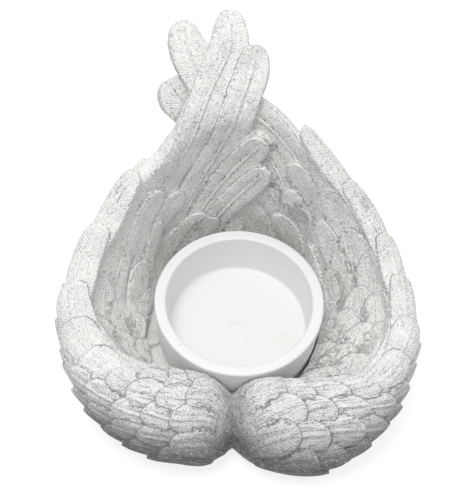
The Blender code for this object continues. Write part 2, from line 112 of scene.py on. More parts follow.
# Degrees round from the seam, rim height from the lobes' (0) to the back's (1), shares of the
# spread at rim, belly and foot, thickness from the back's (0) to the lobes' (1)
LEFT_WING = (
    (0, -0.34, 0.28, 0.26, 0.10, 0.59),
    (10, -0.11, 0.36, 0.42, 0.18, 0.90),
    (22, -0.02, 0.45, 0.45, 0.20, 1.00),
    (45, 0.00, 0.64, 0.59, 0.31, 0.97),
    (66, 0.00, 0.85, 0.81, 0.50, 0.57),
    (84, 0.05, 0.98, 0.96, 0.65, 0.17),
    (108, 0.29, 0.81, 0.81, 0.57, 0.07),
    (130, 0.60, 0.67, 0.67, 0.47, 0.04),
    (153, 0.86, 0.61, 0.55, 0.34, 0.07),
    (172, 1.00, 0.68, 0.54, 0.30, 0.04),
    (186, 0.98, 0.70, 0.54, 0.30, 0.00),
)
RIGHT_WING = (
    (0, -0.34, 0.24, 0.22, 0.09, 0.59),
    (8, -0.11, 0.34, 0.39, 0.15, 0.90),
    (18, -0.02, 0.44, 0.54, 0.24, 1.00),
    (37, 0.00, 0.69, 0.75, 0.39, 0.97),
    (54, 0.02, 0.95, 0.96, 0.61, 0.41),
    (72, 0.03, 1.00, 0.99, 0.66, 0.15),
    (92, 0.15, 0.85, 0.85, 0.59, 0.07),
    (112, 0.40, 0.67, 0.68, 0.50, 0.04),
    (132, 0.68, 0.49, 0.51, 0.40, 0.03),
    (152, 0.89, 0.48, 0.44, 0.29, 0.00),
    (172, 0.96, 0.65, 0.53, 0.30, 0.00),
    (198, 0.94, 0.71, 0.60, 0.34, 0.00),
)
BELLY_HEIGHT = 0.40
TIP_LEAN = math.radians(54)
TIP_BEND = 0.005
BELOW_FLOOR = 0.003
CURVE_LENGTH = 1.04
# The bowl's inner slope: its stand-off and height beside the cup, its curve, where it fades out
SLOPE_GAP = 0.0022
SLOPE_HEIGHT = 0.0100
SLOPE_CURVE = 0.80
SLOPE_FADE = (120, 150)
CREST_RADIUS = 0.0070
CREST_LEAN = math.radians(28)


def glide(at, places, values):
    """Smooth curve through a table's values."""
    slopes = np.gradient(values, places)
    at = np.clip(at, places[0], places[-1])
    i = np.clip(np.searchsorted(places, at, side="right") - 1, 0, len(places) - 2)
    span = places[i + 1] - places[i]
    t = (at - places[i]) / span
    rise = (1 + 2 * t) * (1 - t) ** 2 * values[i] + t * t * (3 - 2 * t) * values[i + 1]
    return rise + span * (t * (1 - t) ** 2 * slopes[i] + t * t * (t - 1) * slopes[i + 1])


# %% [markdown]
# With the stations in a table, a class can answer two questions for either wing: where a point over
# the rounded rim lies, and where one on the inner face that runs on past the rim lies.

# %% Addresses on a wing
class Wing:
    """One wing's wall: a curved sheet of varying thickness with a rounded rim."""

    def __init__(self, side, spread, stations):
        self.side = side
        turn, height, rim, belly, foot, thickness = np.array(stations, dtype=float).T
        height = LOBE_HEIGHT + height * (BACK_HEIGHT - LOBE_HEIGHT)
        thickness = BACK_THICKNESS + thickness * (LOBE_THICKNESS - BACK_THICKNESS)
        self.table = np.stack(
            [turn, height, spread * rim, spread * belly, spread * foot, thickness], -1)
        self.last = turn[-1]

    def size(self, turn, column):
        return glide(turn, self.table[:, 0], self.table[:, column])

    def place(self, turn, radius, height):
        angle = np.radians(turn)
        seam = -SEAM_OFFSET * (1 + np.cos(angle)) / 2
        x = self.side * radius * np.sin(angle) + seam
        return np.stack([x, -radius * np.cos(angle), height + 0 * radius], -1)

    def section(self, turn, rise):
        """Radius, height and direction of the wall's middle, rise 0 at the foot to 1 at the rim."""
        half = self.size(turn, 5) / 2
        rim, belly, foot = (cup_radius + self.size(turn, k) for k in (2, 3, 4))
        top = self.size(turn, 1) - half
        swell = 2 * belly - (rim + foot) / 2
        low = BELLY_HEIGHT * top
        v = np.clip(rise, 0, 1)
        radius = (1 - v) ** 2 * foot + 2 * v * (1 - v) * swell + v * v * rim
        height = 2 * v * (1 - v) * low + v * v * top
        out = 2 * (1 - v) * (swell - foot) + 2 * v * (rim - swell)
        up = 2 * (1 - v) * low + 2 * v * (top - low)
        size = np.hypot(out, up)
        length = np.hypot(rim - foot, top) * CURVE_LENGTH
        height = height + np.minimum(rise, 0) * length
        return radius, height, out / size, up / size, half, length

    def at_rim(self, turn):
        return self.section(turn, 1.0 + 0 * turn)

    def slope_in(self, turn, radius, height, out, up, half):
        """How far the bowl's slope towards the cup stands in from the wall's own inner face."""
        top_radius, top_height, top_out, top_up, _, _ = self.at_rim(turn)
        rim, level = top_radius - half * top_up, top_height + half * top_out
        foot = cup_radius + SLOPE_GAP
        share = np.clip((height + half * out - SLOPE_HEIGHT) / (level - SLOPE_HEIGHT), 0, 1)
        slope = foot + (rim - foot) * share ** SLOPE_CURVE
        keep = np.clip((SLOPE_FADE[1] - turn) / (SLOPE_FADE[1] - SLOPE_FADE[0]), 0, 1)
        return np.maximum(radius - half * up - slope, 0) * keep * keep * (3 - 2 * keep)

    def crest(self, turn, across, lift=0.0):
        """A point on the gently curved band that leans outwards on top of the rim."""
        radius, height, _, _, half, _ = self.at_rim(turn)
        angle = CREST_LEAN - across / CREST_RADIUS
        inset = half - CREST_RADIUS
        radius = radius + inset * math.sin(CREST_LEAN) + (CREST_RADIUS + lift) * np.sin(angle)
        height = height + inset * math.cos(CREST_LEAN) + (CREST_RADIUS + lift) * np.cos(angle)
        return self.place(turn, radius, height)

    def over(self, turn, across, lift=0.0):
        """A point on the wall: across is the way from the top of the rim, negative outside."""
        half = self.size(turn, 5) / 2
        quarter = math.pi / 2 * half
        down = np.maximum(np.abs(across) - quarter, 0)
        length = self.at_rim(turn)[5]
        radius, height, out, up, half, _ = self.section(turn, 1 - down / length)
        roll = np.clip(across / half, -math.pi / 2, math.pi / 2)
        on_rim = np.abs(across) <= quarter
        reach = half + lift
        inwards = np.where(across > 0, self.slope_in(turn, radius, height, out, up, half), 0)
        radius = radius - reach * np.sin(roll) * up + reach * np.cos(roll) * out * on_rim - inwards
        height = height + reach * np.sin(roll) * out + reach * np.cos(roll) * up * on_rim
        return self.place(turn, radius, height)

    def sheet(self, turn, down, lift=0.0):
        """A point on the inner face, which runs on past the rim where down is negative."""
        length = self.at_rim(turn)[5]
        radius, height, out, up, half, _ = self.section(turn, 1 - np.maximum(down, 0) / length)
        radius = radius - self.slope_in(turn, radius, height, out, up, half)
        past = np.maximum(-down, 0)
        bent = past - TIP_BEND * (1 - np.exp(-past / TIP_BEND))
        lean = np.where(past > 0, TIP_LEAN * (1 - np.exp(-past / TIP_BEND)), 0)
        radius = radius + out * past + math.sin(TIP_LEAN) * bent
        height = height + up * past - (1 - math.cos(TIP_LEAN)) * bent
        slope_out = out * np.cos(lean) + up * np.sin(lean)
        slope_up = up * np.cos(lean) - out * np.sin(lean)
        reach = half + lift
        return self.place(turn, radius - reach * slope_up, height + reach * slope_out)


left_wing = Wing(-1, LEFT_SPREAD, LEFT_WING)
right_wing = Wing(1, RIGHT_SPREAD, RIGHT_WING)
print("rim heights at the back", left_wing.size(172, 1), right_wing.size(172, 1))

# %% [markdown]
# ## One feather
# A feather starts as a flat blank: a grid, extruded into a slab. Each copy is then bent onto the
# wall, with a domed face, a raised shaft down its middle and a groove on both sides of it. The
# blank's own coordinates say where on the feather each point lies, and they are kept, because the
# fine barbs of the finish follow them later.

# %% The blank
FEATHER_ROWS = 26
FEATHER_COLUMNS = 21


def only(kind, parts):
    """The points or edges among what an operator returned."""
    return [part for part in parts if isinstance(part, kind)]


def to_mesh(name, bm):
    mesh = bpy.data.meshes.new(name)
    bm.to_mesh(mesh)
    bm.free()
    return mesh


def feather_blank(rows, columns):
    """A slab over x 0 to 1, the length, and y -1 to 1, the width; z 0 is the front, 1 the back."""
    bm = bmesh.new()
    bmesh.ops.create_grid(bm, x_segments=rows, y_segments=columns, size=1)
    bmesh.ops.scale(bm, verts=bm.verts, vec=(0.5, 1, 1))
    bmesh.ops.translate(bm, verts=bm.verts, vec=(0.5, 0, 0))
    back = bmesh.ops.extrude_face_region(bm, geom=bm.faces[:], use_keep_orig=True)
    bmesh.ops.translate(bm, verts=only(bmesh.types.BMVert, back["geom"]), vec=(0, 0, 1))
    return to_mesh("feather_blank", bm)


scale_blank = feather_blank(FEATHER_ROWS, FEATHER_COLUMNS)
blade_blank = feather_blank(3 * FEATHER_ROWS, FEATHER_COLUMNS + 8)
print("a blank has", len(scale_blank.vertices), "points")

# %% [markdown]
# The rows of the blank crowd together towards the tip, where the outline curves most. A path on the
# wall gives the feather's middle line, and its sides are laid off square to it.

# %% Bending a blank onto the wall
FULL_WIDTH_AT = 0.45
ROUND_TIP = 2.2
SQUARE_TIP = 14.0
EDGE_ROUND = 5.0
SHAFT_WIDTH = 0.00035
GROOVE_PLACE = 0.00085
GROOVE_DEPTH = 0.00026
SHAFT_HEIGHT = 0.00024
GROOVE_WIDTH = 1.3 * SHAFT_WIDTH
SHAFT_FADE = (0.10, 0.18)
EDGE_WAVE = 0.05
WAVE_TURNS = 9
ROW_CROWDING = 1.5
LAST_ROW = 0.994
carved = []
vane_dice = random.Random(5)


def add_feather(bm, surface, path, width, tip_lift, root_lift, thickness, dome,
                blank=scale_blank, tip_start=0.60, blunt=0.0, shaft=1.0, root_share=0.72):
    """One carved feather: path holds (turn, distance) points from its root to its tip."""
    start = len(bm.verts)
    bm.from_mesh(blank)
    bm.verts.ensure_lookup_table()
    new = bm.verts[start:]
    local = np.array([vert.co for vert in new])
    x, t, depth = local[:, 0], local[:, 1], local[:, 2]
    along = LAST_ROW * (1 - (1 - x) ** ROW_CROWDING)
    path = np.array(path, dtype=float)
    knots = np.linspace(0, 1, len(path))
    line = np.linspace(0, 1, 200)
    turn_line = glide(line, knots, path[:, 0])
    down_line = glide(line, knots, path[:, 1])
    reach = np.hypot(*surface(turn_line, down_line, 0.0)[:, :2].T)
    way_round = np.gradient(np.radians(turn_line), line) * reach
    way_down = np.gradient(down_line, line)
    speed = np.hypot(way_round, way_down)
    tip = np.clip((along - tip_start) / (1 - tip_start), 0, 1)
    swell = root_share + (1 - root_share) * np.clip(along / FULL_WIDTH_AT, 0, 1)
    taper = (1 - blunt) * np.sqrt(1 - tip ** ROUND_TIP) + blunt * np.sqrt(1 - tip ** SQUARE_TIP)
    phase = vane_dice.uniform(0, math.tau)
    wave = 1 + EDGE_WAVE * np.sin(WAVE_TURNS * along + phase + 2 * np.sign(t))
    half_width = width / 2 * taper * swell * wave
    cosine = np.interp(along, line, way_round / speed)
    sine = np.interp(along, line, way_down / speed)
    aside = np.degrees(sine * half_width / np.interp(along, line, reach)) * t
    turn = np.interp(along, line, turn_line) - aside
    down = np.interp(along, line, down_line) + cosine * half_width * t
    off = t * half_width
    fade = np.clip((1 - along) / SHAFT_FADE[1], 0, 1) * np.clip(along / SHAFT_FADE[0], 0, 1) * shaft
    ridge = SHAFT_HEIGHT * np.exp(-(off / SHAFT_WIDTH) ** 2)
    groove = GROOVE_DEPTH * np.exp(-((np.abs(off) - GROOVE_PLACE) / GROOVE_WIDTH) ** 2)
    lift = root_lift + (tip_lift - root_lift) * along + dome * (1 - np.abs(t) ** EDGE_ROUND)
    lift = lift + (ridge - groove) * fade - thickness * depth
    points = surface(turn, down, lift)
    for vert, point in zip(new, points):
        vert.co = point
    front = depth < 0.5
    length = speed.mean()
    edge = np.minimum((1 - np.abs(t)) * half_width, (1 - along) * length)
    vane = np.stack([along * length, off, edge], -1)[front] * 1000
    carved.append((points[front], vane, fade[front], vane_dice.random()))


# %% [markdown]
# ## The plain wall and floor
# The wall is lofted: its section is drawn once at the seam, then extruded from station to station
# and laid on each new section. Sculptors call this the armature, and the feathers are laid on it.

# %% Wall and floor
WALL_STEPS = 90
SECTION_STEPS = 60


def add_wall(bm, wing):
    def ring(turn):
        turns = np.full(SECTION_STEPS, float(turn))
        length = wing.at_rim(turns)[5] + wing.size(turns, 5) * math.pi / 4 + BELOW_FLOOR
        share = np.linspace(0, 1, SECTION_STEPS)
        inner = wing.over(turns, share * length)
        outer = wing.over(turns, -share * length)
        return np.concatenate([inner[::-1], outer[1:]])

    turns = np.linspace(0, wing.last, WALL_STEPS)
    verts = [bm.verts.new(point) for point in ring(turns[0])]
    edges = [bm.edges.new(pair) for pair in zip(verts, verts[1:] + verts[:1])]
    bmesh.ops.contextual_create(bm, geom=edges)
    for turn in turns[1:]:
        grown_on = bmesh.ops.extrude_edge_only(bm, edges=edges)["geom"]
        edges = only(bmesh.types.BMEdge, grown_on)
        follow = {}
        for old, point in zip(verts, ring(turn)):
            for edge in old.link_edges:
                other = edge.other_vert(old)
                if other in grown_on and other not in follow and (other.co - old.co).length < 1e-7:
                    follow[other] = point
                    break
        verts = list(follow)
        for vert, point in follow.items():
            vert.co = point
    bmesh.ops.contextual_create(bm, geom=edges)


def add_floor(bm):
    turns = np.linspace(0, 180, 40)
    outline = [left_wing.place(t, left_wing.section(t, 0.0)[0], 0.0) for t in turns]
    outline += [right_wing.place(t, right_wing.section(t, 0.0)[0], 0.0) for t in turns[-2:0:-1]]
    low = [bm.verts.new((x, y, -BELOW_FLOOR)) for x, y, _ in outline]
    face = bm.faces.new(low)
    risen = bmesh.ops.extrude_face_region(bm, geom=[face], use_keep_orig=True)["geom"]
    top = only(bmesh.types.BMVert, risen)
    bmesh.ops.translate(bm, verts=top, vec=(0, 0, BOWL_FLOOR + BELOW_FLOOR))


casting = bmesh.new()
add_floor(casting)
for wing in (left_wing, right_wing):
    add_wall(casting, wing)
print("armature points", len(casting.verts))

# %% [markdown]
# ## Feathers of the outside
# The lobes at the front carry small, thick scales. Further back they grow longer and turn upwards
# into the long feathers of a folded wing. One rule lays them all in staggered rows, and a seeded
# die gives each a slightly different size, as a carver's hand does. The last tips run over the seam
# at the back, and the first row stops where the rim's own feathers cover it.

# %% Outer rows
LOBE_END = 62
BACK_START = 125
ROW_END = -3
RIM_START = 38
ROW_CLEARANCE = 0.002
ROOT_SINK = 0.0006
INNER_DOME = 0.0005
SKIN_DEPTH = 0.0012
OUTER_ROWS = {"rows": 12, "first": 0.0040, "start": 3.0, "stagger": 5.0,
              "pitch": (0.0058, 0.0070), "length": (0.0102, 0.0240), "width": (0.0082, 0.0092),
              "rise": (4, 46), "spacing": (0.63, 0.50), "tip_lift": (0.0015, 0.0012),
              "dome": (0.0012, 0.0008)}
SIZE_VARIES = (0.92, 1.08)
RISE_VARIES = 7
LIFT_VARIES = (0.8, 1.2)
row_dice = random.Random(11)


def between(turn, first, last):
    """0 before the first turn, 1 after the last, smooth between."""
    t = min(max((turn - first) / (last - first), 0), 1)
    return t * t * (3 - 2 * t)


def add_outer_rows(bm, wing):
    for row in range(OUTER_ROWS["rows"]):
        turn = OUTER_ROWS["start"] + row % 2 * OUTER_ROWS["stagger"]
        while turn < wing.last:
            share = between(turn, LOBE_END, BACK_START)
            pitch, length, width, rise, spacing, tip_lift, dome = (
                OUTER_ROWS[key][0] + (OUTER_ROWS[key][1] - OUTER_ROWS[key][0]) * share
                for key in ("pitch", "length", "width", "rise", "spacing", "tip_lift", "dome"))
            length *= row_dice.uniform(*SIZE_VARIES)
            width *= row_dice.uniform(*SIZE_VARIES)
            rise += row_dice.uniform(-RISE_VARIES, RISE_VARIES)
            tip_lift *= row_dice.uniform(*LIFT_VARIES)
            radius, _, _, _, half, wall = wing.section(turn, 0.5)
            root = -OUTER_ROWS["first"] - pitch * row
            step = np.degrees(length * math.cos(math.radians(rise)) / radius)
            tip = root + length * math.sin(math.radians(rise))
            on_wall = -root < wall + half * math.pi / 2 - ROW_CLEARANCE
            under_rim = row == 0 and turn > RIM_START
            if on_wall and tip < 0 and turn + step < wing.last - ROW_END and not under_rim:
                path = ((turn, root), (turn + step / 2, (root + tip) / 2), (turn + step, tip))
                add_feather(bm, wing.over, path, width, tip_lift, -ROOT_SINK,
                            SKIN_DEPTH + tip_lift, dome)
            turn += np.degrees(length * spacing / radius)


for wing in (left_wing, right_wing):
    add_outer_rows(casting, wing)
print("feathers on the outside", len(carved))

# %% [markdown]
# ## Scales on top of the lobes
# The scales of the lobes carry on over the top of the rim and a little way down towards the cup.
# They are flatter there, so that the inner edge of the lobes stays softly bumpy.

# %% Scales on top of the lobes
TOP_ROWS = (0.0008, 0.0058, 0.0108)
TOP_LENGTH = 0.0095
TOP_WIDTH = 0.0086
TOP_LIFT = 0.0010
TOP_TURNS = (5, 33)
TOP_STAGGER = 5
TOP_SPACING = 0.66
TOP_DRIFT = 0.0006
TOP_VARIES = (0.9, 1.1)
top_dice = random.Random(8)


def add_top_scales(bm, wing):
    for row, across in enumerate(TOP_ROWS):
        turn = TOP_TURNS[0] + TOP_STAGGER * (row % 2)
        while turn < TOP_TURNS[1]:
            radius = wing.section(turn, 1.0)[0]
            step = np.degrees(TOP_LENGTH * top_dice.uniform(*TOP_VARIES) / radius)
            drift = top_dice.uniform(-TOP_DRIFT, TOP_DRIFT)
            path = ((turn, across + drift), (turn + step / 2, across),
                    (turn + step, across - drift))
            add_feather(bm, wing.over, path, TOP_WIDTH * top_dice.uniform(*SIZE_VARIES), TOP_LIFT,
                        -ROOT_SINK, SKIN_DEPTH + TOP_LIFT, INNER_DOME)
            turn += TOP_SPACING * step


for wing in (left_wing, right_wing):
    add_top_scales(casting, wing)
print("feathers so far", len(carved))

# %% [markdown]
# ## Feathers of the inside
# The inner face has broad, flat feathers in loose rows. Their tips were placed one by one from the
# photograph, since this is the face that the eye meets first.

# %% Inner feathers
INNER_LENGTH = 0.0175
INNER_WIDTH = 0.0112
INNER_RISE = (12, 50)
INNER_TURNS = (125, 170)
INNER_TIP_LIFT = 0.0012
INNER_PITCH = 0.0060
INNER_RISE_VARIES = 5
INNER_WIDTH_VARIES = (0.95, 1.08)
# Turn of the tip and how many pitches it lies below the rim
LEFT_INNER = (
    (169, 5.8), (161, 4.9), (152, 2.5), (141, 1.2), (139, 3.1), (116, 0.9), (121, 3.1), (115, 4.2),
    (99, 0.5), (96, 1.7), (97, 2.8), (100, 4.0), (84, 0.3), (82, 1.4), (80, 2.5), (66, 0.7),
    (62, 1.7),
)
RIGHT_INNER = (
    (176, 5.5), (156, 4.9), (153, 2.8), (153, 0.9), (132, 0.3), (134, 4.4), (130, 2.1), (116, 0.7),
    (115, 1.9), (113, 2.9), (109, 3.8), (103, 0.2), (96, 1.2), (90, 2.0), (89, 0.2), (89, 2.8),
    (80, 1.0), (78, 0.0), (72, 1.6), (74, 2.4), (66, 0.7), (58, 1.5), (54, 0.3),
    (167, 3.7), (172, 2.6),
)


def add_inner_feathers(bm, wing, tips):
    for turn, rows_down in tips:
        down = INNER_PITCH * rows_down
        share = between(turn, *INNER_TURNS)
        varied = row_dice.uniform(-INNER_RISE_VARIES, INNER_RISE_VARIES)
        rise = math.radians(INNER_RISE[0] + (INNER_RISE[1] - INNER_RISE[0]) * share + varied)
        radius = np.hypot(*wing.sheet(np.array([turn]), np.array([down]))[0, :2])
        step = np.degrees(INNER_LENGTH * math.cos(rise) / radius)
        drop = INNER_LENGTH * math.sin(rise)
        path = ((turn - step, down + drop), (turn - step / 2, down + drop / 2), (turn, down))
        add_feather(bm, wing.sheet, path, INNER_WIDTH * row_dice.uniform(*INNER_WIDTH_VARIES),
                    INNER_TIP_LIFT, -ROOT_SINK, SKIN_DEPTH + INNER_TIP_LIFT, INNER_DOME,
                    tip_start=0.68, shaft=0.6, root_share=0.95)


add_inner_feathers(casting, left_wing, LEFT_INNER)
add_inner_feathers(casting, right_wing, RIGHT_INNER)
print("feathers so far", len(carved))

# %% [markdown]
# ## The rim
# Along the rim lie long, thick feathers with blunt ends. Each end stands proud of the next one, so
# the outline of the bowl steps outwards five or six times on each side.

# %% Rim feathers
# Turn of the tip, then shares of the shift across the rim, length, width and proud tip
RIM_SHIFT = 0.0010
RIM_LENGTH = 0.0200
RIM_WIDTH = 0.0080
RIM_PROUD = 0.0020
RIM_ROOT_SHIFT = 0.0015
RIM_DEPTH = 0.0038
BLADE_DOME = 0.0004
LEFT_RIM = (
    (66, 0.6, 0.85, 1.50, 0.60),
    (79, 0.4, 0.95, 1.44, 0.75),
    (92, 0.2, 1.05, 1.31, 0.90),
    (112, 0.6, 1.15, 1.10, 1.10),
    (133, 1.0, 1.25, 0.95, 1.10),
)
RIGHT_RIM = (
    (65, -0.2, 0.80, 1.06, 0.70),
    (77, -0.2, 0.90, 1.00, 1.00),
    (91, 0.2, 1.00, 0.93, 1.00),
    (105, 0.4, 1.05, 0.88, 1.00),
    (126, 0.4, 1.15, 0.85, 1.10),
    (152, 0.4, 1.35, 0.80, 1.80),
)


def add_rim_feathers(bm, wing, feathers):
    for turn, shift, length, width, proud in feathers:
        across = shift * RIM_SHIFT
        step = np.degrees(length * RIM_LENGTH / wing.section(turn, 1.0)[0])
        path = ((turn - step, across + RIM_ROOT_SHIFT),
                (turn - step / 2, across + RIM_ROOT_SHIFT / 2), (turn, across))
        add_feather(bm, wing.crest, path, width * RIM_WIDTH, proud * RIM_PROUD, 0.0, RIM_DEPTH,
                    BLADE_DOME, blank=blade_blank, tip_start=0.45, blunt=0.55, shaft=0.5)


add_rim_feathers(casting, left_wing, LEFT_RIM)
add_rim_feathers(casting, right_wing, RIGHT_RIM)
print("feathers so far", len(carved))

# %% [markdown]
# ## The crossed tips
# The long flight feathers sweep up the inside of the back and run on past the rim. Those of the
# left wing lean to the right and pass in front; those of the right wing lean left behind them.

# %% Flight feathers
# Shares of width, root width and lift at root and tip, then the path: turn and distance down from
# the rim as a share of the reach
FLIGHT_WIDTH = 0.0100
FLIGHT_LIFT = 0.0010
TIP_REACH = 0.0288
BLADE_THICKNESS = 0.0030
LEFT_FLIGHT = (
    (1.12, 1.50, -0.4, 1.0, ((133, 0.49), (144, 0.23), (157, -0.02),
                             (168, -0.28), (177, -0.62), (178, -1.00))),
    (0.95, 1.30, -0.4, 2.0, ((147, 0.99), (159, 0.68), (171, 0.31),
                             (179.5, -0.10), (185, -0.45), (185.5, -0.69))),
    (0.90, 1.15, -0.4, 2.6, ((150, 1.39), (170, 0.83), (183, 0.43), (193, 0.12))),
    (0.86, 1.15, -0.4, 3.0, ((160, 1.63), (178, 1.04), (196, 0.47))),
)
RIGHT_FLIGHT = (
    (1.08, 1.20, -0.2, 0.0, ((132, 0.49), (147, 0.17), (163, 0.02), (180, -0.10),
                             (189.5, -0.30), (194.5, -0.64), (195, -0.96))),
    (1.20, 1.10, 1.0, -3.0, ((146, 0.83), (160, 0.45), (174, 0.25), (188, 0.05),
                             (196, -0.11), (200.3, -0.29), (201.8, -0.48))),
)


def add_flight_feathers(bm, wing, feathers):
    for width, root_share, root_lift, tip_lift, path in feathers:
        path = [(turn, down * TIP_REACH) for turn, down in path]
        thickness = BLADE_THICKNESS + max(tip_lift, 0) * FLIGHT_LIFT
        add_feather(bm, wing.sheet, path, width * FLIGHT_WIDTH, tip_lift * FLIGHT_LIFT,
                    root_lift * FLIGHT_LIFT, thickness, BLADE_DOME, blank=blade_blank,
                    tip_start=0.74, blunt=0.2, shaft=1.2, root_share=root_share)


add_flight_feathers(casting, left_wing, LEFT_FLIGHT)
add_flight_feathers(casting, right_wing, RIGHT_FLIGHT)
print("feathers in all", len(carved))

# %% [markdown]
# ## Cast in one
# The wall, the floor and the feathers are still separate solids pushed into each other. A voxel
# remesh pours them into one skin with soft creases, as a mould does. Sealed pockets that it leaves
# inside are dropped, the underside is cut flat, and the cup's seat is pressed into the floor.

# %% Fuse the casting
VOXEL = 0.00036
TRIANGLES = 190000


def with_modifiers(item, modifiers):
    """The object's mesh after the given modifiers."""
    for kind, settings in modifiers:
        modifier = item.modifiers.new(kind.title(), kind)
        for key, value in settings.items():
            setattr(modifier, key, value)
    bpy.context.view_layer.update()
    seen = item.evaluated_get(bpy.context.evaluated_depsgraph_get())
    mesh = bpy.data.meshes.new_from_object(seen)
    item.modifiers.clear()
    return mesh


def read(items, name, width, kind=np.float64):
    """One property of all points or edges, as rows."""
    values = np.empty(len(items) * width, dtype=kind)
    items.foreach_get(name, values)
    return values.reshape(-1, width)


def keep_largest(mesh):
    """Drops every connected piece but the largest."""
    a, b = read(mesh.edges, "vertices", 2, np.int32).T
    label = np.arange(len(mesh.vertices))
    while True:
        low = np.minimum(label[a], label[b])
        before = label.copy()
        np.minimum.at(label, a, low)
        np.minimum.at(label, b, low)
        label = label[label]
        if (label == before).all():
            break
    names, counts = np.unique(label, return_counts=True)
    main = names[counts.argmax()]
    bm = bmesh.new()
    bm.from_mesh(mesh)
    bm.verts.ensure_lookup_table()
    loose = [bm.verts[i] for i in np.flatnonzero(label != main)]
    bmesh.ops.delete(bm, geom=loose, context="VERTS")
    bm.to_mesh(mesh)
    bm.free()
    return len(names)


wings = add_object("feathered_wings", to_mesh("feathered_wings", casting))
wings.data = with_modifiers(wings, [("REMESH", {"mode": "VOXEL", "voxel_size": VOXEL})])
pieces_found = keep_largest(wings.data)
faces = len(wings.data.polygons) * 2
wings.data = with_modifiers(wings, [
    ("SMOOTH", {"factor": 0.5, "iterations": 2}),
    ("DECIMATE", {"ratio": TRIANGLES / faces}),
])
print("remeshed to", faces, "triangles in", pieces_found, "pieces, kept", len(wings.data.polygons))

# %% [markdown]
# A plane cuts the underside, and the hole is filled to a flat base. Points that stand inside the
# cup are then pushed out to its wall, or down to the seat, with a small gap for the glue.

# %% Cut the underside flat and press the seat
SEAT_BASE = 0.003
SEAT_EDGE = 0.001
ABOVE_CUP = 0.006
seat_height = cup_bottom - GLUE_GAP
bm = bmesh.new()
bm.from_mesh(wings.data)
cut = bmesh.ops.bisect_plane(bm, geom=bm.verts[:] + bm.edges[:] + bm.faces[:], plane_co=(0, 0, 0),
                             plane_no=(0, 0, -1), clear_outer=True)
bmesh.ops.contextual_create(bm, geom=only(bmesh.types.BMEdge, cut["geom_cut"]))
for vert in bm.verts:
    x, y, z = vert.co
    reach = math.hypot(x, y)
    well = cup_foot + SEAT_CLEARANCE + CUP_TAPER * (z - cup_bottom) / (cup_top - cup_bottom)
    if BOWL_FLOOR + SEAT_EDGE < z < cup_top + ABOVE_CUP and reach < well:
        vert.co = (x * well / reach, y * well / reach, z)
    elif SEAT_BASE < z <= BOWL_FLOOR + SEAT_EDGE and reach < well:
        vert.co.z = seat_height
bm.to_mesh(wings.data)
bm.free()
wings.data.shade_smooth()
print("triangles after the cut", sum(len(face.vertices) - 2 for face in wings.data.polygons))

# %% [markdown]
# ## Where each point lies on its feather
# The fused skin has forgotten its feathers, but the finish needs them: barbs run slantwise from the
# shaft, and the edge is a raised lip. So each point looks up the carved points nearest to it and
# takes its place along the feather, across it and in from its edge, in millimetres. Hollows are
# found from the skin's own curvature.

# %% Give the skin its feather coordinates
FEATHER_REACH = 0.0012
NEAREST = 4
HOLLOW_ROUNDS = 10


def feather_coordinates(mesh):
    owner = np.concatenate([np.full(len(row[0]), i) for i, row in enumerate(carved)])
    vanes = np.concatenate([row[1] for row in carved])
    fades = np.concatenate([row[2] for row in carved])
    tree = KDTree(len(owner))
    for i, point in enumerate(np.concatenate([row[0] for row in carved])):
        tree.insert(point, i)
    tree.balance()
    place = read(mesh.vertices, "co", 3)
    vane = np.zeros((len(place), 3))
    shaft, tone, skin = np.zeros(len(place)), np.full(len(place), 0.5), np.zeros(len(place))
    for i, point in enumerate(place):
        found = tree.find_n(point, NEAREST)
        first = found[0][1]
        near = [(index, 1 / (distance + 1e-6)) for _, index, distance in found
                if owner[index] == owner[first]]
        total = sum(weight for _, weight in near)
        vane[i] = sum(vanes[index] * weight for index, weight in near) / total
        shaft[i] = fades[first]
        tone[i] = carved[owner[first]][3]
        skin[i] = max(0.0, 1 - found[0][2] / FEATHER_REACH)
    return place, vane, shaft, tone, np.minimum(2 * skin, 1)


def hollows(mesh, place, rounds):
    """How far each point lies below the mean of its neighbours, in millimetres, after smoothing."""
    a, b = read(mesh.edges, "vertices", 2, np.int32).T
    normal = read(mesh.vertices, "normal", 3)
    links = np.bincount(a, minlength=len(place)) + np.bincount(b, minlength=len(place))
    smooth = place.copy()
    for _ in range(rounds):
        total = np.zeros_like(smooth)
        np.add.at(total, a, smooth[b])
        np.add.at(total, b, smooth[a])
        smooth = total / np.maximum(links, 1)[:, None]
    return ((smooth - place) * normal).sum(1) * 1000


place, vane, shaft, tone, skin = feather_coordinates(wings.data)
hollow = hollows(wings.data, place, HOLLOW_ROUNDS)
fields = {"vane": vane, "shaft": shaft, "tone": tone, "skin": skin, "hollow": hollow}
for name, values in fields.items():
    kind, field = ("FLOAT_VECTOR", "vector") if values.ndim == 2 else ("FLOAT", "value")
    wings.data.attributes.new(name, kind, "POINT").data.foreach_set(field, values.ravel())
print("points on feathers", int((skin > 0).sum()), "of", len(place))
print("deepest hollow", round(hollow.max(), 2), "mm")

# %% [markdown]
# ## Helpers for the finishes
# A finish is a graph of small nodes. Each helper adds a common one, or a few, and returns its
# output, so that the finishes below read like sums.

# %% Node helpers
def new_material(name):
    material = bpy.data.materials.new(name)
    material.use_nodes = True
    return material, material.node_tree, material.node_tree.nodes["Principled BSDF"]


def soften(shader, radius):
    """Lets a little light spread under the surface."""
    shader.inputs["Subsurface Weight"].default_value = 0.06
    shader.inputs["Subsurface Radius"].default_value = radius
    shader.inputs["Subsurface Scale"].default_value = 1.0


def feed(tree, socket, value):
    """Gives an input its value: a number, a tuple or another node's output."""
    if isinstance(value, bpy.types.NodeSocket):
        tree.links.new(value, socket)
    else:
        socket.default_value = value


def node(tree, kind, **settings):
    made = tree.nodes.new(kind)
    for key, value in settings.items():
        if key in made.inputs:
            feed(tree, made.inputs[key], value)
        else:
            setattr(made, key, value)
    return made


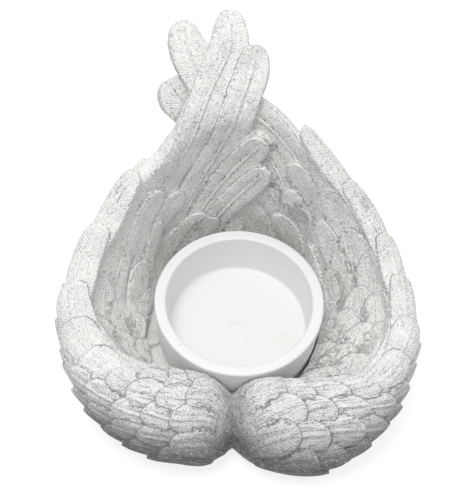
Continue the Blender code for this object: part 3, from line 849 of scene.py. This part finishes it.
def maths(tree, operation, *values, kind="ShaderNodeMath"):
    made = node(tree, kind, operation=operation)
    for socket, value in zip(made.inputs, values):
        feed(tree, socket, value)
    return made.outputs[0]


def mixed(tree, factor, first, second):
    """A colour mix, 0 the first and 1 the second."""
    made = node(tree, "ShaderNodeMix", data_type="RGBA")
    feed(tree, made.inputs["Factor"], factor)
    for socket, value in ((made.inputs[6], first), (made.inputs[7], second)):
        feed(tree, socket, (*value, 1) if isinstance(value, tuple) else value)
    return made.outputs[2]


def stepped(tree, value, low, high):
    """0 at low, 1 at high, smooth between; low may be the larger."""
    limits = {"From Min": low, "From Max": high}
    made = node(tree, "ShaderNodeMapRange", interpolation_type="SMOOTHSTEP", Value=value, **limits)
    return made.outputs["Result"]


def product(tree, *values):
    made = values[0]
    for value in values[1:]:
        made = maths(tree, "MULTIPLY", made, value)
    return made


def bell(tree, value, centre, width):
    """1 at the centre, 0 past the width on both sides."""
    off = maths(tree, "ABSOLUTE", maths(tree, "SUBTRACT", value, centre))
    return stepped(tree, off, width, 0.0)


def separated(tree, vector):
    return node(tree, "ShaderNodeSeparateXYZ", Vector=vector).outputs


def on_feather(tree, at, scales):
    """The place on the feather as a vector: across, along and the feather's tone, each scaled."""
    made = node(tree, "ShaderNodeCombineXYZ")
    for socket, value, scale in zip(made.inputs, (at.across, at.along, at.tone), scales):
        feed(tree, socket, product(tree, value, scale))
    return made.outputs[0]


def cells(tree, where, scale):
    """Random cells: each one's colour, its three parts, and the distance from the middle."""
    made = node(tree, "ShaderNodeTexVoronoi", Vector=where, Scale=scale)
    colour = made.outputs["Color"]
    parts = node(tree, "ShaderNodeSeparateColor", Color=colour).outputs
    return colour, parts, made.outputs["Distance"]


def bumped(tree, shader, height, strength):
    """Bump from a height in millimetres."""
    bump = node(tree, "ShaderNodeBump", Strength=strength, Distance=0.001, Height=height)
    tree.links.new(bump.outputs["Normal"], shader.inputs["Normal"])
    return bump


def seen_directly(tree):
    """1 for rays from the camera, a mirror or through glass, 0 for those that only carry light."""
    rays = node(tree, "ShaderNodeLightPath")
    seen = maths(tree, "MAXIMUM", rays.outputs["Is Camera Ray"], rays.outputs["Is Glossy Ray"])
    return maths(tree, "MAXIMUM", seen, rays.outputs["Is Transmission Ray"])


def noise(tree, where, scale, detail):
    made = node(tree, "ShaderNodeTexNoise", Vector=where, Scale=scale, Detail=detail)
    return made.outputs["Fac"]


# %% [markdown]
# ## What the resin's nodes read
# The place in the casting, the five attributes that the skin carries, and noises from broad clouds
# to fine grit. The lobe mask is 1 on the front lobes, which get greyer resin, painted shade and
# some dirt.

# %% Inputs of the resin
class Skin:
    def __init__(self, tree):
        self.where = node(tree, "ShaderNodeTexCoord").outputs["Object"]
        _, y, self.z = separated(tree, self.where)
        vane = node(tree, "ShaderNodeAttribute", attribute_name="vane").outputs["Vector"]
        self.along, self.across, self.edge = separated(tree, vane)
        self.shaft, self.tone, self.skin, self.hollow = (
            node(tree, "ShaderNodeAttribute", attribute_name=name).outputs["Fac"]
            for name in ("shaft", "tone", "skin", "hollow"))
        self.side = maths(tree, "ABSOLUTE", self.across)
        self.lobe = stepped(tree, y, -0.018, -0.032)
        self.cloud = noise(tree, self.where, 120.0, 3.0)
        self.patch = noise(tree, self.where, 60.0, 1.0)
        self.grain = noise(tree, self.where, 900.0, 3.0)
        self.grit = noise(tree, self.where, 2600.0, 2.0)


# %% [markdown]
# ## The carver's marks
# Barbs are sharp little valleys that run slantwise from the shaft, stronger here and there. Cuts
# are long scratches of the tool beside the shaft, deep on the lobes. The shaft itself is a ridge
# between two grooves, and a rough lip follows the edge.

# %% Marks in the feather's own places
BARB_PITCH = 0.80
BARB_SLANT = 1.1
CUT_STRETCH = (2.4, 0.25, 60.0)
CUTS_OFF_LOBES = 0.20


def carving_marks(tree, at):
    slant = maths(tree, "SUBTRACT", at.along, product(tree, at.side, BARB_SLANT))
    phase = product(tree, maths(tree, "ADD", slant, at.grain), math.pi / BARB_PITCH)
    wave = maths(tree, "ABSOLUTE", maths(tree, "SINE", phase))
    scratches = noise(tree, on_feather(tree, at, CUT_STRETCH), 1.0, 1.0)
    strength = maths(tree, "ADD", product(tree, at.lobe, 1 - CUTS_OFF_LOBES), CUTS_OFF_LOBES)
    return {
        "barbs": product(tree, wave, at.skin, stepped(tree, at.cloud, 0.30, 0.55)),
        "cuts": product(tree, stepped(tree, scratches, 0.60, 0.68), at.skin,
                        stepped(tree, at.edge, 0.3, 0.9), strength),
        "ridge": product(tree, bell(tree, at.side, 0.0, 0.38), at.shaft, at.skin),
        "groove": product(tree, bell(tree, at.side, 0.70, 0.32), at.shaft, at.skin),
        "lip": product(tree, bell(tree, at.edge, 0.40, 0.45), at.skin,
                       stepped(tree, at.grain, 0.30, 0.60)),
    }


# %% [markdown]
# ## The glitter
# The flakes are tiny mirrors at all angles: some flash white in the room's light, and for the
# others the dark side of the room is a painted reflection, a dark colour. Each cell of a Voronoi
# pattern is one grain of the coat, and a few of the cells are flakes. More glitter gathered as
# dashes in the grooves and along the long feathers' edges, with the same painted dark reflection.

# %% Flakes and dashes
FLAKE_SCALE = 2400.0
FLAKE_TILT = 0.8
DASH_STRETCH = (2.8, 1.1, 40.0)
BRIGHT_FLAKE = (0.98, 0.98, 0.98)
# Painted reflections of a dark room, for the dark flakes and the dashes
DARK_FLAKE_REFLECTION = ((0.05, 0.05, 0.06), (0.50, 0.50, 0.50))


def glitter(tree, at, groove):
    """Where flakes lie, their colour with a painted dark reflection on the dark ones, and each
    grain's own tone and random direction.
    """
    direction, (chance, darkness, grain_tone), distance = cells(tree, at.where, FLAKE_SCALE)
    threshold = maths(tree, "SUBTRACT", 0.99, product(tree, at.patch, 0.07))
    chosen = maths(tree, "GREATER_THAN", chance, threshold)
    small = maths(tree, "LESS_THAN", distance, 0.40)

    _, (dash_chance, _, _), dash_distance = cells(tree, on_feather(tree, at, DASH_STRETCH), 1.0)
    beside = product(tree, bell(tree, at.edge, 0.0, 0.30), at.skin,
                     stepped(tree, at.shaft, 0.75, 0.95))
    crevice = product(tree, maths(tree, "MAXIMUM", groove, beside),
                      stepped(tree, at.lobe, 0.6, 0.0))
    dash = product(tree, crevice, maths(tree, "GREATER_THAN", dash_chance, 0.56),
                   maths(tree, "LESS_THAN", dash_distance, 0.48),
                   stepped(tree, at.patch, 0.42, 0.50))
    dash = maths(tree, "GREATER_THAN", dash, 0.35)

    flake = maths(tree, "MAXIMUM", product(tree, chosen, small), dash)
    # Dark flakes and all dashes get the painted dark reflection
    dark_reflection = maths(tree, "MAXIMUM", maths(tree, "GREATER_THAN", darkness, 0.45), dash)
    colour = mixed(tree, dark_reflection, BRIGHT_FLAKE, mixed(tree, grain_tone, *DARK_FLAKE_REFLECTION))
    return flake, colour, grain_tone, direction


def tilted_normal(tree, direction):
    """The surface's normal, turned a little by each grain's random direction."""
    kind = "ShaderNodeVectorMath"
    scale, centre = [FLAKE_TILT] * 3, [-FLAKE_TILT / 2] * 3
    tilt = maths(tree, "MULTIPLY_ADD", direction, scale, centre, kind=kind)
    normal = node(tree, "ShaderNodeNewGeometry").outputs["Normal"]
    return maths(tree, "NORMALIZE", maths(tree, "ADD", normal, tilt, kind=kind), kind=kind)


# %% [markdown]
# ## The glittered resin
# White resin under its thin coat: matt and a little uneven. Painted shade greys the creases and the
# insides of the cuts, the lobes are greyer resin with painted shade, the raised lips carry a
# painted highlight, and low down on the lobes a dark colour is painted shade with some dirt. All
# heights are in millimetres.

# %% Resin with glitter
RESIN = (0.945, 0.955, 0.925)
# The lobes' resin: a little greyer, and partly painted shade
LOBE_GREY_AND_SHADE = (0.88, 0.88, 0.89)
TONED_RESIN = (0.76, 0.77, 0.78)
GRAIN_SHADE = (0.72, 0.73, 0.72)
# Painted shade: greyer colours for the creases and the insides of the cuts
CREASE_SHADE = (0.86, 0.86, 0.84)
LOBE_CREASE_SHADE = (0.64, 0.64, 0.65)
# Painted highlight: the feathers' raised lips a little lighter
LIP_HIGHLIGHT = (0.97, 0.97, 0.97)
# Painted shade low on the lobes, with some dirt
LOW_SHADE_AND_GRIME = (0.17, 0.16, 0.15)
HEIGHTS = {"barbs": 0.14, "cuts": -0.40, "ridge": 0.16, "groove": -0.10, "lip": 0.20,
           "grain": 0.26, "grit": 0.22, "flake": 0.03}


def make_resin():
    material, tree, shader = new_material("glittered_resin")
    link = tree.links.new
    at = Skin(tree)
    marks = carving_marks(tree, at)
    flake, flake_and_reflection_colour, grain_tone, direction = glitter(tree, at, marks["groove"])

    # The lobes are painted greyer, partly as resin colour and partly as shade
    body = mixed(tree, at.lobe, RESIN, LOBE_GREY_AND_SHADE)
    # The painted shade of creases, darker on the lobes
    crease_shade = mixed(tree, at.lobe, CREASE_SHADE, LOBE_CREASE_SHADE)
    body = mixed(tree, product(tree, at.tone, 0.08), body, TONED_RESIN)
    body = mixed(tree, product(tree, grain_tone, 0.30), body, GRAIN_SHADE)
    # Painted shade in the hollows
    body = mixed(tree, stepped(tree, at.hollow, 0.04, 0.34), body, crease_shade)
    # Painted shade inside the cuts on the lobes
    body = mixed(tree, product(tree, marks["cuts"], 0.5, at.lobe), body, crease_shade)
    # Painted highlight on the lips
    body = mixed(tree, product(tree, marks["lip"], 0.6), body, LIP_HIGHLIGHT)
    # Painted shade with some dirt, darker towards the bottom of the lobes and patchy
    low = product(tree, stepped(tree, at.z, 0.028, 0.009), at.lobe,
                  stepped(tree, at.grain, 0.10, 0.50))
    body = mixed(tree, low, body, LOW_SHADE_AND_GRIME)
    link(mixed(tree, flake, body, flake_and_reflection_colour), shader.inputs["Base Color"])
    link(product(tree, flake, 0.6), shader.inputs["Metallic"])
    rough = maths(tree, "SUBTRACT", 0.55, product(tree, flake, 0.30))
    link(rough, shader.inputs["Roughness"])
    soften(shader, (0.0010, 0.0009, 0.0008))

    parts = {**marks, "grain": at.grain, "grit": at.grit, "flake": flake}
    height = 0.0
    for name, millimetres in HEIGHTS.items():
        height = maths(tree, "ADD", height, product(tree, parts[name], millimetres))
    bump = bumped(tree, shader, height, 1.0)
    link(tilted_normal(tree, direction), bump.inputs["Normal"])
    return material


resin = make_resin()
wings.data.materials.clear()
wings.data.materials.append(resin)
print("resin has", len(resin.node_tree.nodes), "nodes")

# %% [markdown]
# ## The tealight cup
# A thin, even, moulded cup: its wall's profile is spun about the upright axis. The rim's edges are
# rounded, and the wall meets the floor in a small fillet.

# %% Turn the cup
CUP_STEPS = 160
RIM_ROUND = 0.0006
FLOOR_FILLET = 0.0008
BORE_TAPER = 0.0007
ARC_STEPS = 5


def arc(centre, radius, start, stop):
    """Points on a quarter of a circle, in degrees, for a turned profile."""
    angles = [math.radians(start + (stop - start) * i / ARC_STEPS) for i in range(ARC_STEPS + 1)]
    return [(centre[0] + radius * math.cos(a), centre[1] + radius * math.sin(a)) for a in angles]


def make_cup():
    bore = cup_radius - CUP_WALL
    inside = cup_top - CUP_DEPTH
    bore_foot = bore - BORE_TAPER
    profile = [(0.0, cup_bottom)]
    profile += arc((cup_foot - RIM_ROUND, cup_bottom + RIM_ROUND), RIM_ROUND, -90, 0)
    profile += arc((cup_radius - RIM_ROUND, cup_top - RIM_ROUND), RIM_ROUND, 0, 90)
    profile += arc((bore + RIM_ROUND, cup_top - RIM_ROUND), RIM_ROUND, 90, 180)
    profile += arc((bore_foot - FLOOR_FILLET, inside + FLOOR_FILLET), FLOOR_FILLET, 0, -90)
    profile += [(bore_foot * share, inside) for share in (0.8, 0.6, 0.4, 0.2, 0.0)]
    bm = bmesh.new()
    verts = [bm.verts.new((x, 0, z)) for x, z in profile]
    edges = [bm.edges.new(pair) for pair in zip(verts, verts[1:])]
    bmesh.ops.spin(bm, geom=verts + edges, cent=(0, 0, 0), axis=(0, 0, 1), angle=math.tau,
                   steps=CUP_STEPS, use_merge=True)
    bmesh.ops.remove_doubles(bm, verts=bm.verts, dist=1e-6)
    bmesh.ops.recalc_face_normals(bm, faces=bm.faces)
    mesh = to_mesh("candle_cup", bm)
    mesh.shade_smooth()
    return add_object("candle_cup", mesh)


cup = make_cup()
print("cup faces", len(cup.data.polygons))

# %% [markdown]
# ## The cup's finish
# Smooth matt white, much plainer than the resin round it: a faint orange-peel, a few dust specks on
# the floor, one pale stain right of the middle and the gate's crescent beside it.

# %% Cup material
CUP_WHITE = (0.82, 0.82, 0.82)
STAIN_PLACE = (0.0130, -0.0050)
GATE_PLACE = (-0.0003, -0.0015)
GATE_RADIUS = 0.0022
STAIN_COLOUR = (0.78, 0.74, 0.66)


def make_cup_material():
    material, tree, shader = new_material("cup_white")
    link = tree.links.new
    where = node(tree, "ShaderNodeTexCoord").outputs["Object"]
    x, y, _ = separated(tree, where)
    cloud = noise(tree, where, 160.0, 4.0)
    peel = noise(tree, where, 1400.0, 2.0)

    def far_from(place):
        dx = maths(tree, "SUBTRACT", x, place[0])
        dy = maths(tree, "SUBTRACT", y, place[1])
        squares = maths(tree, "ADD", product(tree, dx, dx), product(tree, dy, dy))
        return maths(tree, "SQRT", squares)

    stain_edge = maths(tree, "ADD", far_from(STAIN_PLACE), product(tree, cloud, 0.004))
    stain = stepped(tree, stain_edge, 0.0060, 0.0035)
    body = mixed(tree, product(tree, cloud, 0.10), CUP_WHITE, (0.78, 0.79, 0.80))
    body = mixed(tree, product(tree, stain, 0.35), body, STAIN_COLOUR)
    _, dust, distance = cells(tree, where, 420.0)
    speck = product(tree, maths(tree, "GREATER_THAN", dust[0], 0.93),
                    maths(tree, "LESS_THAN", distance, 0.10))
    body = mixed(tree, product(tree, speck, 0.6), body, (0.45, 0.45, 0.45))
    link(body, shader.inputs["Base Color"])
    shader.inputs["Roughness"].default_value = 0.42
    soften(shader, (0.0015, 0.0015, 0.0015))

    ring = maths(tree, "ABSOLUTE", maths(tree, "SUBTRACT", far_from(GATE_PLACE), GATE_RADIUS))
    upper = maths(tree, "GREATER_THAN", y, GATE_PLACE[1] + 0.0008)
    gate = product(tree, stepped(tree, ring, 0.0004, 0.0001), upper)
    height = maths(tree, "ADD", product(tree, gate, 0.20), product(tree, peel, 0.02))
    bumped(tree, shader, height, 0.7)
    return material


cup.data.materials.append(make_cup_material())
print("cup finished")

# %% [markdown]
# ## The floor and the light
# A white studio floor, one soft lamp overhead and a white room that is brighter above than around.
# The floor shows plain white to the camera but sends back little light, so that the undersides stay
# dark, and it still takes the holder's shadow.

# %% Floor
FLOOR_SIZE = 3.0
FLOOR_GREY = 0.30
FLOOR_SHINES = 0.78
FLOOR_DROP = 0.00005


def make_floor():
    bm = bmesh.new()
    bmesh.ops.create_grid(bm, x_segments=1, y_segments=1, size=FLOOR_SIZE)
    bmesh.ops.translate(bm, verts=bm.verts, vec=(0, 0, -FLOOR_DROP))
    floor = add_object("studio_floor", to_mesh("studio_floor", bm))
    material, tree, shader = new_material("studio_white")
    shader.inputs["Base Color"].default_value = (FLOOR_GREY, FLOOR_GREY, FLOOR_GREY, 1)
    shader.inputs["Roughness"].default_value = 0.9
    shader.inputs["Emission Color"].default_value = (1, 1, 1, 1)
    shine = product(tree, seen_directly(tree), FLOOR_SHINES)
    tree.links.new(shine, shader.inputs["Emission Strength"])
    floor.data.materials.append(material)


make_floor()
print("floor laid")

# %% [markdown]
# The camera, mirrors and glass see the room as plain white. Only the rays that carry light meet the
# grey walls and the brighter ceiling.

# %% Lamp and room
LAMP_PLACE = (-0.12, -0.04, 0.75)
LAMP_SIZE = 0.30
LAMP_POWER = 2.5
ROOM_LOW = 0.38
ROOM_HIGH = 0.86
AIM_HEIGHT = 0.02


def make_lights():
    lamp = bpy.data.lights.new("overhead_softbox", "AREA")
    lamp.shape = "DISK"
    lamp.size = LAMP_SIZE
    lamp.energy = LAMP_POWER
    holder = add_object("overhead_softbox", lamp)
    holder.location = LAMP_PLACE
    aim = Vector((0, 0, AIM_HEIGHT)) - Vector(LAMP_PLACE)
    holder.rotation_euler = aim.to_track_quat("-Z", "Y").to_euler()
    world = bpy.data.worlds.new("white_room")
    bpy.context.scene.world = world
    world.use_nodes = True
    tree = world.node_tree
    background = tree.nodes["Background"]
    background.inputs["Color"].default_value = (1, 1, 1, 1)
    seen = seen_directly(tree)
    sky = separated(tree, node(tree, "ShaderNodeTexCoord").outputs["Generated"])
    upwards = maths(tree, "MAXIMUM", sky[2], 0.0)
    light = maths(tree, "ADD", ROOM_LOW, product(tree, upwards, ROOM_HIGH - ROOM_LOW))
    unseen = product(tree, light, maths(tree, "SUBTRACT", 1.0, seen))
    tree.links.new(maths(tree, "ADD", unseen, seen), background.inputs["Strength"])


make_lights()
bpy.context.scene.view_settings.view_transform = "Standard"
print("lamp", LAMP_POWER, "W, room", ROOM_LOW, "to", ROOM_HIGH)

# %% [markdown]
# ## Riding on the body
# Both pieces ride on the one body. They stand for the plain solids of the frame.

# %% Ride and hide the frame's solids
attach(wings, "root")
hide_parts("wing_bowl")
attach(cup, "root")
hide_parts("tealight_cup")
